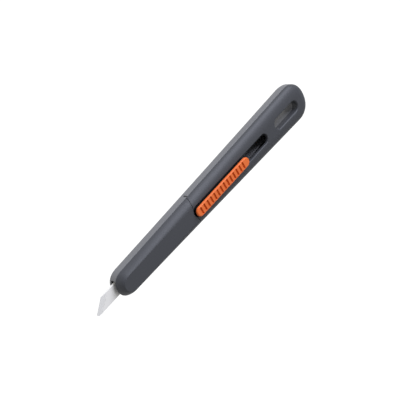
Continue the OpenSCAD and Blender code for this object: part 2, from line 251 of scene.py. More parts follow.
class Sock:
    """An output socket that can be used in Python expressions on values."""

    def __init__(self, tree: "Nodes", socket: bpy.types.NodeSocket) -> None:
        """Wraps a socket of a node tree."""
        self.tree = tree
        self.socket = socket

    def _math(self, op: str, *values: "Sock | float") -> "Sock":
        """Adds a Math node with these inputs."""
        return self.tree.add("ShaderNodeMath", {"operation": op}, dict(enumerate(values)))

    def __add__(self, other: "Sock | float") -> "Sock":
        """Sum."""
        return self._math("ADD", self, other)

    __radd__ = __add__

    def __mul__(self, other: "Sock | float") -> "Sock":
        """Product."""
        return self._math("MULTIPLY", self, other)

    __rmul__ = __mul__

    def __sub__(self, other: "Sock | float") -> "Sock":
        """Difference."""
        return self._math("SUBTRACT", self, other)

    def __rsub__(self, other: float) -> "Sock":
        """Difference from a number."""
        return self._math("SUBTRACT", other, self)


class Nodes:
    """A material's node tree, built by short calls."""

    def __init__(self, name: str) -> None:
        """Makes an empty material of this name."""
        self.material = bpy.data.materials.new(name)
        self.material.use_nodes = True
        self.tree = self.material.node_tree
        self.tree.nodes.clear()

    def add(self, kind: str, settings: dict | None = None, inputs: dict | None = None,
            output: int | str = 0) -> "Sock | None":
        """Adds a node.

        Args:
            kind: The node's type.
            settings: Properties of the node, set before its inputs.
            inputs: Values or links of its input sockets, by name or number.
            output: The output socket that is returned.

        Returns:
            The chosen output, or nothing for a node that has none.
        """
        node = self.tree.nodes.new(kind)
        for key, value in (settings or {}).items():
            setattr(node, key, value)
        for key, value in (inputs or {}).items():
            if isinstance(value, Sock):
                self.tree.links.new(value.socket, node.inputs[key])
            else:
                node.inputs[key].default_value = value
        return Sock(self, node.outputs[output]) if len(node.outputs) else None

    def seen(self) -> Sock:
        """One for what is looked at directly, and nought for what only gives light."""
        return self.add("ShaderNodeLightPath", output="Is Camera Ray")

    def place(self, scale: Sequence[float] = (1, 1, 1)) -> Sock:
        """Object coordinates, stretched by scale."""
        coords = self.add("ShaderNodeTexCoord", output="Object")
        return self.add("ShaderNodeMapping", None, {"Vector": coords, "Scale": scale})

    def noise(self, scale: float, detail: float = 2.0, stretch: Sequence[float] = (1, 1, 1)) -> Sock:
        """Noise on object coordinates, from 0 to 1."""
        return self.add("ShaderNodeTexNoise", None,
                        {"Vector": self.place(stretch), "Scale": scale, "Detail": detail}, "Fac")

    def tone(self, low: Sequence[float], high: Sequence[float], share: Sock) -> Sock:
        """Mix of two colours."""
        return self.add("ShaderNodeMix", {"data_type": "RGBA"},
                        {0: share, 6: (*low, 1), 7: (*high, 1)}, 2)

    def bump(self, height: Sock, strength: float, distance: float) -> Sock:
        """Bump from a height."""
        inputs = {"Height": height, "Strength": strength, "Distance": distance}
        return self.add("ShaderNodeBump", None, inputs, "Normal")

    def surface(self, inputs: dict) -> bpy.types.Material:
        """Ends the tree in a Principled shader with these inputs.

        Args:
            inputs: Values or links of the shader.

        Returns:
            The finished material.
        """
        shader = self.add("ShaderNodeBsdfPrincipled", None, inputs)
        self.add("ShaderNodeOutputMaterial", None, {"Surface": shader})
        return self.material


def shade(color: Sequence[float], factor: float) -> tuple[float, ...]:
    """A colour made lighter or darker."""
    return tuple(min(1.0, c * factor) for c in color)


@dataclass(frozen=True)
class Moulded:
    """Moulded plastic with a fine spark-eroded grain and faint flow marks."""

    name: str
    slot: str
    color: tuple[float, float, float]
    roughness: float = 0.5
    grain: float = 0.35
    specular: float = 0.5
    grain_scale: float = 5200.0
    grain_height: float = 0.03 * MM
    flow_scale: float = 55.0
    flow_stretch: tuple[float, float, float] = (0.35, 1.0, 1.0)
    rub_scale: float = 420.0

    def build(self) -> bpy.types.Material:
        """Makes the material."""
        n = Nodes(self.name)
        grain = n.noise(self.grain_scale, 3.0)
        flow = n.noise(self.flow_scale, 2.0, self.flow_stretch)
        rub = n.noise(self.rub_scale, 4.0)
        color = n.tone(shade(self.color, 0.93), shade(self.color, 1.07), flow)
        rough = (self.roughness - 0.05) + 0.06 * rub + 0.04 * grain
        normal = n.bump(grain, self.grain, self.grain_height)
        return n.surface({"Base Color": color, "Roughness": rough, "Normal": normal,
                          "Specular IOR Level": self.specular})


@dataclass(frozen=True)
class Ceramic:
    """Ground zirconia: even white with fine grinding lines."""

    name: str
    slot: str
    color: tuple[float, float, float]
    roughness: float = 0.42
    stretch: tuple[float, float, float] = (0.08, 2.2, 1.0)
    depth: float = 0.12
    line_scale: float = 900.0
    line_height: float = 0.02 * MM
    cloud_scale: float = 160.0

    def build(self) -> bpy.types.Material:
        """Makes the material."""
        n = Nodes(self.name)
        lines = n.noise(self.line_scale, 3.0, self.stretch)
        cloud = n.noise(self.cloud_scale, 2.0)
        color = n.tone(shade(self.color, 0.96), shade(self.color, 1.02), cloud)
        rough = self.roughness + 0.10 * lines
        normal = n.bump(lines, self.depth, self.line_height)
        return n.surface({"Base Color": color, "Roughness": rough, "Normal": normal})


@dataclass(frozen=True)
class Steel:
    """Steel with rolled or turned lines."""

    name: str
    slot: str
    color: tuple[float, float, float]
    roughness: float = 0.34
    stretch: tuple[float, float, float] = (0.1, 2.0, 1.0)
    depth: float = 0.15
    line_scale: float = 2600.0
    line_height: float = 0.02 * MM
    cloud_scale: float = 240.0

    def build(self) -> bpy.types.Material:
        """Makes the material."""
        n = Nodes(self.name)
        lines = n.noise(self.line_scale, 3.0, self.stretch)
        color = n.tone(shade(self.color, 0.9), shade(self.color, 1.08), n.noise(self.cloud_scale))
        rough = self.roughness - 0.06 + 0.14 * lines
        normal = n.bump(lines, self.depth, self.line_height)
        return n.surface({"Base Color": color, "Roughness": rough, "Metallic": 1.0, "Normal": normal})


class Finishes:
    """The knife's finishes, each made once."""

    COVER = Moulded("cover_plastic", "housing", (0.049, 0.051, 0.057), 0.54, 0.3, 0.5)
    # Lighter grey moulding of the back shell, made lighter still as painted light on its lit side strip.
    BACK_TONE_AND_LIGHT = Moulded("back_plastic_and_painted_light", "back_housing", (0.172, 0.173, 0.178), 0.5, 0.3, 0.45)
    # Black moulding of the inside pieces, also used as painted shade on the blade mouth and the slider's neck.
    BLACK_AND_SHADE = Moulded("inner_plastic", "inner_plastic", (0.010, 0.010, 0.011), 0.45, 0.2)
    # Darker orange painted into the grooves as painted shade.
    GROOVE_SHADE = Moulded("groove_painted_shade", "button", (0.68, 0.135, 0.014), 0.55, 0.2, 0.3)
    BUTTON = Moulded("button_plastic", "button", (0.82, 0.165, 0.030), 0.5, 0.2, 0.35)
    BLADE = Ceramic("blade_ceramic", "blade", (0.88, 0.86, 0.81))
    GROUND = Ceramic("blade_ground", "blade", (0.80, 0.785, 0.745), 0.3, (2.2, 0.1, 1.0), 0.3)
    SPRING = Steel("spring_strip", "spring_steel", (0.52, 0.53, 0.54))
    SCREW = Steel("screw_zinc", "screw_steel", (0.35, 0.36, 0.37), 0.38, (1.0, 1.0, 1.0))

    def __init__(self) -> None:
        """Starts with no material made."""
        self._made: dict[str, bpy.types.Material] = {}

    def dress(self, obj: bpy.types.Object, *finishes: "Moulded | Ceramic | Steel") -> None:
        """Gives an object its finishes.

        Args:
            obj: The object; its material slots are replaced.
            finishes: The finishes, one for each material slot.
        """
        obj.data.materials.clear()
        for finish in finishes:
            if finish.name not in self._made:
                self._made[finish.name] = finish.build()
            obj.data.materials.append(self._made[finish.name])


def stand_in(obj: bpy.types.Object, node: str, body: Body,
             sharp_deg: float = SHARP_DEG) -> None:
    """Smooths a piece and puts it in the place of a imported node.

    Args:
        obj: The piece.
        node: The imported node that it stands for.
        body: The body that it rides on.
        sharp_deg: Angle above which an edge stays sharp.
    """
    finish_surface(obj, sharp_deg)
    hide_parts(node)
    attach(obj, body.value)
    LOG.info("%s: %d faces", obj.name, len(obj.data.polygons))


# ------------------------------------------------------------------------------------------ handle form


@dataclass(frozen=True)
class Edge:
    """Rounded edge of a shell: its width and height at the two ends of the handle, and its fullness."""

    run_tail: float
    run_nose: float
    rise_tail: float
    rise_nose: float
    power_tail: float
    power_nose: float

    def at(self, turn: float) -> tuple[float, float, float, float]:
        """Point of the edge's profile.

        Args:
            turn: 0 at the side wall, 1 at the flat face.

        Returns:
            Inset and rise at the tail, inset and rise at the nose.
        """
        a = math.radians(90 * turn)
        out = []
        for run, rise, power in ((self.run_tail, self.rise_tail, self.power_tail),
                                 (self.run_nose, self.rise_nose, self.power_nose)):
            out.append(run * (1 - abs(math.cos(a)) ** (2 / power)))
            out.append(rise * math.sin(a) ** (2 / power))
        return tuple(out)


@dataclass(frozen=True)
class HandleForm:
    """Outer form of the handle, which the three shells share."""

    tail_x: float
    nose_x: float
    parting_z: float
    face_z: float
    tail_w: float = 19.6 * MM
    nose_w: float = 11.5 * MM
    tail_round: float = 9.5 * MM
    nose_round: float = 7.0 * MM
    end_power: float = 2.25
    wall: float = 1.3 * MM
    roof: float = 1.3 * MM
    floor: float = 1.6 * MM
    front_run: tuple[float, float] = (6.5 * MM, 2.3 * MM)
    front_power: tuple[float, float] = (2.15, 1.25)
    back_run: float = 2.4 * MM
    back_rise: tuple[float, float] = (3.9 * MM, 3.0 * MM)
    back_power: tuple[float, float] = (1.35, 1.06)
    room_slim: float = 0.5 * MM
    room_rise: float = 0.6 * MM
    arc_steps: int = 44
    side_steps: int = 26
    edge_steps: int = 14
    lip: float = 0.12 * MM
    over: float = 1 * MM

    @property
    def length(self) -> float:
        """Length of the handle."""
        return self.nose_x - self.tail_x

    @property
    def nose_s(self) -> float:
        """Place where the nose's rounding starts."""
        return self.length - self.nose_round

    def x(self, s: float) -> float:
        """Place in the frame of a distance from the tail."""
        return self.tail_x + s

    def side(self, s: float) -> float:
        """Half width of the straight sides."""
        return mix(self.tail_w, self.nose_w, s / self.length) / 2

    def ring(self, inset_tail: float, z_tail: float, inset_nose: float, z_nose: float) -> Ring:
        """Outline of the handle, drawn in at its two ends.

        Args:
            inset_tail: How far it is drawn in at the tail.
            z_tail: Its height at the tail.
            inset_nose: How far it is drawn in at the nose.
            z_nose: Its height at the nose.

        Returns:
            The outline's points, once round.
        """
        p = 2 / self.end_power
        nx, ny = self.nose_round - inset_nose, self.side(self.nose_s) - inset_nose
        tx, ty = self.tail_round - inset_tail, self.side(self.tail_round) - inset_tail
        points = []

        def add_arc(centre: float, rx: float, ry: float, first: float, share: int) -> None:
            """Adds the rounding of one end, from the angle first."""
            for i in range(self.arc_steps + 1):
                a = first - math.pi * i / self.arc_steps
                s = centre + rx * signed_power(math.cos(a), p)
                points.append((s, ry * signed_power(math.sin(a), p), share))

        add_arc(self.nose_s, nx, ny, math.pi / 2, 1)
        for i in range(1, self.side_steps):
            t = i / self.side_steps
            points.append((mix(self.nose_s, self.tail_round, t), -mix(ny, ty, t), 1 - t))
        add_arc(self.tail_round, tx, ty, -math.pi / 2, 0)
        for i in range(1, self.side_steps):
            t = i / self.side_steps
            points.append((mix(self.tail_round, self.nose_s, t), mix(ty, ny, t), t))
        return [Vector((self.x(s), y, mix(z_tail, z_nose, share))) for s, y, share in points]

    @property
    def front_edge(self) -> Edge:
        """Edge between the side and the front face: a soft bevel at the nose, fully round at the tail."""
        rise = self.face_z - self.parting_z
        return Edge(*self.front_run, rise, rise, *self.front_power)

    @property
    def back_edge(self) -> Edge:
        """Edge between the side and the flat back."""
        return Edge(self.back_run, self.back_run, *self.back_rise, *self.back_power)

    def front_solid(self) -> bpy.types.Object:
        """Whole front half, from the parting line to the face."""
        edge, lip, z = self.front_edge, self.lip, self.parting_z
        rings = [self.ring(lip, z, lip, z), self.ring(0, z + lip, 0, z + lip)]
        low = z + lip * 1.5
        for k in range(1, self.edge_steps + 1):
            it, rt, i_n, rn = edge.at(k / self.edge_steps)
            rings.append(self.ring(it, max(low, z + rt), i_n, max(low, z + rn)))
        return loft("front_solid", rings)

    def front_room(self) -> bpy.types.Object:
        """Hollow of the front half."""
        edge, z, w, slim = self.front_edge, self.parting_z, self.wall, self.room_slim
        share = (self.face_z - self.roof - z) / (self.face_z - z)
        rings = [self.ring(w, z - self.over, w, z - self.over)]
        for k in range(self.edge_steps // 2 + 1):
            it, rt, i_n, rn = edge.at(2 * k / self.edge_steps)
            it *= 1 - slim / edge.run_tail
            i_n *= 1 - slim / edge.run_nose
            rings.append(self.ring(w + it, z + rt * share, w + i_n, z + rn * share))
        return loft("front_room", rings)

    def back_solid(self) -> bpy.types.Object:
        """Whole back half, from the flat back to the parting line."""
        edge, lip, z = self.back_edge, self.lip, self.parting_z
        rings = []
        for k in range(self.edge_steps, -1, -1):
            it, rt, i_n, rn = edge.at(k / self.edge_steps)
            rings.append(self.ring(it, edge.rise_tail - rt, i_n, edge.rise_nose - rn))
        rings += [self.ring(0, z - lip, 0, z - lip), self.ring(lip, z, lip, z)]
        return loft("back_solid", rings)

    def back_room(self) -> bpy.types.Object:
        """Hollow of the back half."""
        w, low, high = self.wall, self.floor, self.parting_z + self.over
        inset = w + self.back_run * 0.8
        middle_tail, middle_nose = (rise + self.room_rise for rise in self.back_rise)
        return loft("back_room", [
            self.ring(inset, low, inset, low),
            self.ring(w, middle_tail, w, middle_nose),
            self.ring(w, high, w, high)])


@dataclass(frozen=True)
class Stadium:
    """Long hole or block with round ends, between two places along the handle."""

    form: HandleForm
    start: float
    end: float
    width: float
    steps: int = 24
    mouth_steps: int = 6
    mouth_turn: float = 76
    flare_rise: float = 0.1 * MM
    flare_grow: float = 0.35 * MM

    def ring(self, z: float, grow: float = 0.0) -> Ring:
        """Outline at a height, grown on all sides."""
        r = self.width / 2
        grown = r + grow
        points = []
        for centre, first in ((self.end - r, -90), (self.start + r, 90)):
            for i in range(self.steps + 1):
                a = math.radians(first + 180 * i / self.steps)
                points.append(Vector((self.form.x(centre) + grown * math.cos(a), grown * math.sin(a), z)))
        return points

    def block(self, z0: float, z1: float, grow: float = 0.0) -> bpy.types.Object:
        """Straight block between two heights."""
        return loft("block", [self.ring(z0, grow), self.ring(z1, grow)])

    def mouth_rings(self, z: float, radius: float, up: int) -> list[Ring]:
        """Rings of a cutter that rounds the mouth of the hole.

        Args:
            z: Height of the face that the hole opens in.
            radius: Radius of the rounding.
            up: 1 where the hole opens upwards, -1 where it opens downwards.

        Returns:
            Rings from inside the hole to outside the face.
        """
        rings = []
        last = math.radians(self.mouth_turn)
        for k in range(self.mouth_steps + 1):
            a = math.radians(self.mouth_turn * k / self.mouth_steps)
            rise = radius * (math.sin(a) - math.sin(last))
            rings.append(self.ring(z + up * rise, radius * (1 - math.cos(a))))
        grow = radius * (1 - math.cos(last))
        rings.append(self.ring(z + up * self.flare_rise, grow + self.flare_grow))
        return rings


# ------------------------------------------------------------------------------------------------ pieces


@dataclass
class Handle:
    """The three housing shells with what is moulded inside them."""

    form: HandleForm
    finishes: Finishes
    slot_start: float = 33.9 * MM
    slot_end: float = 89.1 * MM
    slot_w: float = 5.1 * MM
    slot_round: float = 0.6 * MM
    hole_start: float = 8.5 * MM
    hole_end: float = 26.8 * MM
    hole_w: float = 5.4 * MM
    hole_round: float = 0.9 * MM
    hole_wall: float = 1.2 * MM
    seam_bulge: float = 2.1 * MM
    seam_gap: float = 0.24 * MM
    seam_steps: int = 40
    seam_half_w: float = 12 * MM
    lid_lift: float = 0.05 * MM
    lid_from: float = 60 * MM
    screw_s: tuple[float, float] = (5.0 * MM, 30.2 * MM)
    screw_pilot_r: float = 1.03 * MM
    screw_hole_r: float = 1.15 * MM
    screw_sink_r: float = 2.1 * MM
    front_boss_r: float = 2.0 * MM
    back_boss_r: float = 2.5 * MM
    peg_r: float = 0.8 * MM
    peg_gap: float = 0.03 * MM
    front_peg_wall: float = 0.4 * MM
    back_peg_wall: float = 0.7 * MM
    hook_shares: tuple[float, float] = (0.12, 0.45)
    hook_half: float = 1.4 * MM
    ledge_half: float = 1.5 * MM
    channel_gap: float = 0.15 * MM
    tray_gap: float = 0.75 * MM
    tray_stop: float = 0.6 * MM
    guide_t: float = 0.9 * MM
    reach: float = 40 * MM
    past: float = 5 * MM

    def __post_init__(self) -> None:
        """Works out the places that follow from the driving sizes."""
        form = self.form
        self.slot = Stadium(form, self.slot_start, self.slot_end, self.slot_w)
        self.hole = Stadium(form, self.hole_start, self.hole_end, self.hole_w)
        self.seam_s = self.slot_end - 0.45 * MM
        self.roof_z = form.face_z - form.roof
        self.hooks_s = [mix(self.seam_s, form.nose_s, t) for t in self.hook_shares]
        self.peg_s = self.seam_s - 6 * MM
        self.peg_y = form.side(self.peg_s) - form.wall - 0.6 * MM
        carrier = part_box("slide_carrier")
        self.channel_w = carrier[1].y + self.channel_gap
        self.tray_end = carrier[1].x
        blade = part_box("blade")
        self.blade_z = (blade[0].z, blade[1].z)

    def at_screws(self, bm: bmesh.types.BMesh, radius: float, z0: float, z1: float) -> None:
        """Adds an upright cylinder at each screw."""
        for s in self.screw_s:
            add_cylinder(bm, self.form.x(s), 0, radius, z0, z1)

    def at_pegs(self, bm: bmesh.types.BMesh, radius: float, z0: float, z1: float) -> None:
        """Adds an upright cylinder at each peg of the rear cover."""
        for y in (-self.peg_y, self.peg_y):
            add_cylinder(bm, self.form.x(self.peg_s), y, radius, z0, z1)

    def hole_cutter(self) -> bpy.types.Object:
        """Lanyard hole right through, with both mouths rounded."""
        low = self.hole.mouth_rings(0, self.hole_round * 0.8, -1)
        high = self.hole.mouth_rings(self.form.face_z, self.hole_round, 1)
        return loft("hole_cutter", low[::-1] + high)

    def slot_cutter(self) -> bpy.types.Object:
        """Slot of the slider, with its mouth rounded."""
        start = self.slot.ring(self.form.parting_z + 0.2 * MM)
        return loft("slot_cutter", [start] + self.slot.mouth_rings(self.form.face_z, self.slot_round, 1))

    def behind_seam(self, extra: float) -> bpy.types.Object:
        """Region on the tail side of the curved seam."""
        w = self.form.side(self.seam_s)
        r = (w * w + self.seam_bulge ** 2) / (2 * self.seam_bulge)
        centre = self.form.x(self.seam_s) - r
        turn = math.degrees(math.asin(min(1.0, self.seam_half_w / r)))
        arc = []
        for i in range(self.seam_steps + 1):
            a = math.radians(mix(-turn, turn, i / self.seam_steps))
            arc.append((centre + (r + extra) * math.cos(a), (r + extra) * math.sin(a)))
        back = self.form.tail_x - self.past
        outline = arc + [(back, arc[-1][1]), (back, arc[0][1])]
        z0, z1 = self.form.parting_z - self.past, self.form.face_z + self.past
        return loft("behind_seam", [[Vector((x, y, z)) for x, y in outline] for z in (z0, z1)])

    def front_inside(self) -> bpy.types.Object:
        """Blocks and bosses that stand inside the covers."""
        form = self.form
        z0, z1 = form.parting_z - 2 * MM, form.face_z + 1 * MM

        def fill(bm: bmesh.types.BMesh) -> None:
            """Adds the bosses, and the blocks above the hooks."""
            self.at_screws(bm, self.front_boss_r, z0 - 0.5 * MM, z1)
            self.at_pegs(bm, self.peg_r + self.front_peg_wall, z0 - 0.6 * MM, z1)
            for s in self.hooks_s:
                wall_y = form.side(s) - form.wall
                low = (form.x(s) - self.ledge_half, wall_y - 1.4 * MM, form.parting_z + 0.5 * MM)
                add_side_boxes(bm, low, (form.x(s) + self.ledge_half, wall_y + 2.5 * MM, z1))

        inside = self.hole.block(z0, z1, self.hole_wall)
        return combine(inside, solid("bosses", fill), Op.JOIN)

    def front_shell(self) -> bpy.types.Object:
        """Whole front half, hollow and with its openings."""
        form = self.form
        shell = form.front_solid()
        room = combine(form.front_room(), self.front_inside(), Op.CUT)
        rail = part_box("notch_rail")
        gap = Vector((0.03 * MM, 0.03 * MM, 0))
        low = form.parting_z - 2 * MM
        half = self.slot_w / 2 + 0.6 * MM
        rail_room = box_object((rail[0] - gap)[:2] + (low,), (rail[1] + gap)[:2] + (self.roof_z,))
        flange_room = box_object((form.x(self.slot_start - 0.3 * MM), -half, low - 1 * MM),
                                 (form.x(self.slot_end + 1 * MM), half, self.roof_z - 0.02 * MM))
        combine(shell, room, Op.CUT)
        combine(shell, rail_room, Op.CUT)
        combine(shell, flange_room, Op.CUT)
        combine(shell, self.slot_cutter(), Op.CUT)
        return combine(shell, self.hole_cutter(), Op.CUT)

    def hooks(self, s: float) -> bpy.types.Object:
        """Pair of hooks at one place of the nose cover."""
        form = self.form
        wall_y = form.side(s) - form.wall
        top = form.parting_z - 1.1 * MM
        low = top - 0.75 * MM
        x0, x1 = form.x(s) - self.hook_half, form.x(s) + self.hook_half

        def arms(bm: bmesh.types.BMesh) -> None:
            """Adds the arms."""
            high = (x1, wall_y - 0.8 * MM, form.parting_z + 1.2 * MM)
            add_side_boxes(bm, (x0, wall_y - 1.35 * MM, low), high)

        def feet(bm: bmesh.types.BMesh) -> None:
            """Adds the feet."""
            add_side_boxes(bm, (x0, wall_y - 1.0 * MM, low), (x1, wall_y - 0.3 * MM, top))

        return combine(solid("hooks", arms), solid("feet", feet), Op.JOIN)

    def build_covers(self) -> None:
        """Splits the front half at the seam into the rear cover and the nose cover."""
        form = self.form
        front = self.front_shell()
        nose = bpy.data.objects.new("nose_cover_skin", front.data.copy())
        bpy.context.scene.collection.objects.link(nose)
        front.name = "rear_cover_skin"
        combine(front, self.behind_seam(0), Op.KEEP)

        def pegs(bm: bmesh.types.BMesh) -> None:
            """Adds the pegs that locate the rear cover."""
            self.at_pegs(bm, self.peg_r, form.parting_z - 3 * MM, form.parting_z + 1.5 * MM)

        combine(front, solid("pegs", pegs), Op.JOIN)

        def screw_holes(bm: bmesh.types.BMesh) -> None:
            """Adds the blind holes of the screws."""
            self.at_screws(bm, self.screw_pilot_r, form.parting_z - 1 * MM, self.roof_z)

        combine(front, solid("screw_holes", screw_holes), Op.CUT)
        combine(nose, self.behind_seam(self.seam_gap), Op.CUT)

        def lift(bm: bmesh.types.BMesh) -> None:
            """Adds the thin layer that clears the back shell."""
            add_box(bm, (form.x(self.lid_from), -self.reach, form.parting_z - 1 * MM),
                    (form.nose_x + self.past, self.reach, form.parting_z + self.lid_lift))

        combine(nose, solid("lift", lift), Op.CUT)
        for s in self.hooks_s:
            combine(nose, self.hooks(s), Op.JOIN)
        stand_in(front, "rear_cover", Body.HANDLE)
        stand_in(nose, "nose_cover", Body.NOSE_LID)
        self.covers = (front, nose)

    def back_inside(self) -> bpy.types.Object:
        """Walls, bosses, guides and the solid nose that stand inside the back shell."""
        form = self.form
        top = form.parting_z + 3 * MM
        inside = self.hole.block(-1 * MM, top, self.hole_wall)
        lip = self.tray_end + self.tray_stop
        tray_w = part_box("blade")[1].y + self.tray_gap
        deck_end = form.x(self.slot_end - 2.3 * MM)
        guide_z = self.blade_z[0] + 0.4 * MM

        def fill(bm: bmesh.types.BMesh) -> None:
            """Adds everything but the wall of the lanyard hole."""
            self.at_screws(bm, self.back_boss_r, -1.5 * MM, top)
            self.at_pegs(bm, self.peg_r + self.back_peg_wall, -3 * MM, top + 1 * MM)

        def guides(bm: bmesh.types.BMesh) -> None:
            """Adds the guides of the carrier."""
            add_side_boxes(bm, (form.x(self.hole_end + 3 * MM), self.channel_w, -2 * MM),
                           (deck_end, self.channel_w + self.guide_t, guide_z))

        def tray_guides(bm: bmesh.types.BMesh) -> None:
            """Adds the guides of the blade tray."""
            add_side_boxes(bm, (deck_end - 2 * MM, tray_w, -1 * MM),
                           (lip, tray_w + self.guide_t, guide_z + 0.1 * MM))

        def nose(bm: bmesh.types.BMesh) -> None:
            """Adds the solid nose and the ledges of the hooks."""
            add_box(bm, (lip - 4 * MM, -self.reach, -2.5 * MM),
                    (form.nose_x + self.past, self.reach, top + 2 * MM))
            for s in self.hooks_s:
                wall_y = form.side(s) - form.wall
                low = (form.x(s) - self.ledge_half, wall_y - 0.65 * MM, form.parting_z - 0.95 * MM)
                add_side_boxes(bm, low, (form.x(s) + self.ledge_half, wall_y + 2.3 * MM, top + 1.5 * MM))

        for maker in (fill, guides, tray_guides, nose):
            combine(inside, solid("inside", maker), Op.JOIN)
        return combine(inside, self.carrier_way(form.floor - 0.6 * MM), Op.CUT)

    def carrier_way(self, z: float) -> bpy.types.Object:
        """Way of the carrier: wide for its deck, narrow for its tray."""
        form = self.form
        lip = self.tray_end + self.tray_stop
        tray_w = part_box("blade")[1].y + self.tray_gap
        deck_end = form.x(self.slot_end - 2.0 * MM)
        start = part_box("slide_carrier")[0].x - 17.5 * MM
        top = form.parting_z + 6 * MM
        wide = box_object((start, -self.channel_w, z), (deck_end, self.channel_w, top))
        narrow = box_object((deck_end - 1 * MM, -tray_w, z), (lip, tray_w, top))
        return combine(wide, narrow, Op.JOIN)

    def build_back(self) -> None:
        """Makes the back shell."""
        form = self.form
        back = form.back_solid()
        back.name = "back_shell_skin"
        combine(back, combine(form.back_room(), self.back_inside(), Op.CUT), Op.CUT)
        combine(back, self.carrier_way(form.floor - 0.1 * MM), Op.CUT)

        def openings(bm: bmesh.types.BMesh) -> None:
            """Adds the mouth that the blade passes, and the fingernail notches."""
            mouth = self.channel_w - 0.05 * MM
            add_box(bm, (self.tray_end + 0.1 * MM, -mouth, self.blade_z[0] - 0.15 * MM),
                    (form.nose_x + 9 * MM, mouth, form.face_z))
            notch = self.seam_s - self.seam_bulge
            low = (form.x(notch - 1 * MM), form.side(self.seam_s) - 0.35 * MM, form.parting_z - 2.2 * MM)
            add_side_boxes(bm, low, (form.x(notch), self.reach, form.face_z))

        def holes(bm: bmesh.types.BMesh) -> None:
            """Adds the screw holes and the holes of the cover's pegs."""
            self.at_screws(bm, self.screw_hole_r, -1 * MM, form.face_z)
            self.at_pegs(bm, self.peg_r + self.peg_gap, form.floor + 0.9 * MM, form.face_z)

        def sinks(bm: bmesh.types.BMesh) -> None:
            """Adds the recesses of the screw heads."""
            self.at_screws(bm, self.screw_sink_r, -2 * MM, form.floor - 0.1 * MM)

        combine(back, self.hole_cutter(), Op.CUT)
        for maker in (openings, holes, sinks):
            combine(back, solid("cut", maker), Op.CUT)
        stand_in(back, "back_shell", Body.HANDLE)
        self.back = back

    def build(self) -> None:
        """Makes the three shells."""
        self.build_back()
        self.build_covers()

    def dress(self) -> None:
        """Gives the shells their finish; the mouth faces around the blade are painted black as painted shade.
        """
        for cover in self.covers:
            self.finishes.dress(cover, Finishes.COVER)
        self.finishes.dress(self.back, Finishes.BACK_TONE_AND_LIGHT, Finishes.BLACK_AND_SHADE)
        # Painted shade: the mouth faces around the blade get the black finish, standing in for their deep
        # shadow.
        for face in self.back.data.polygons:
            x, y, z = face.center
            shaded_mouth = x > self.tray_end and abs(y) < self.channel_w and z > self.blade_z[0] - 0.2 * MM
            face.material_index = int(shaded_mouth)


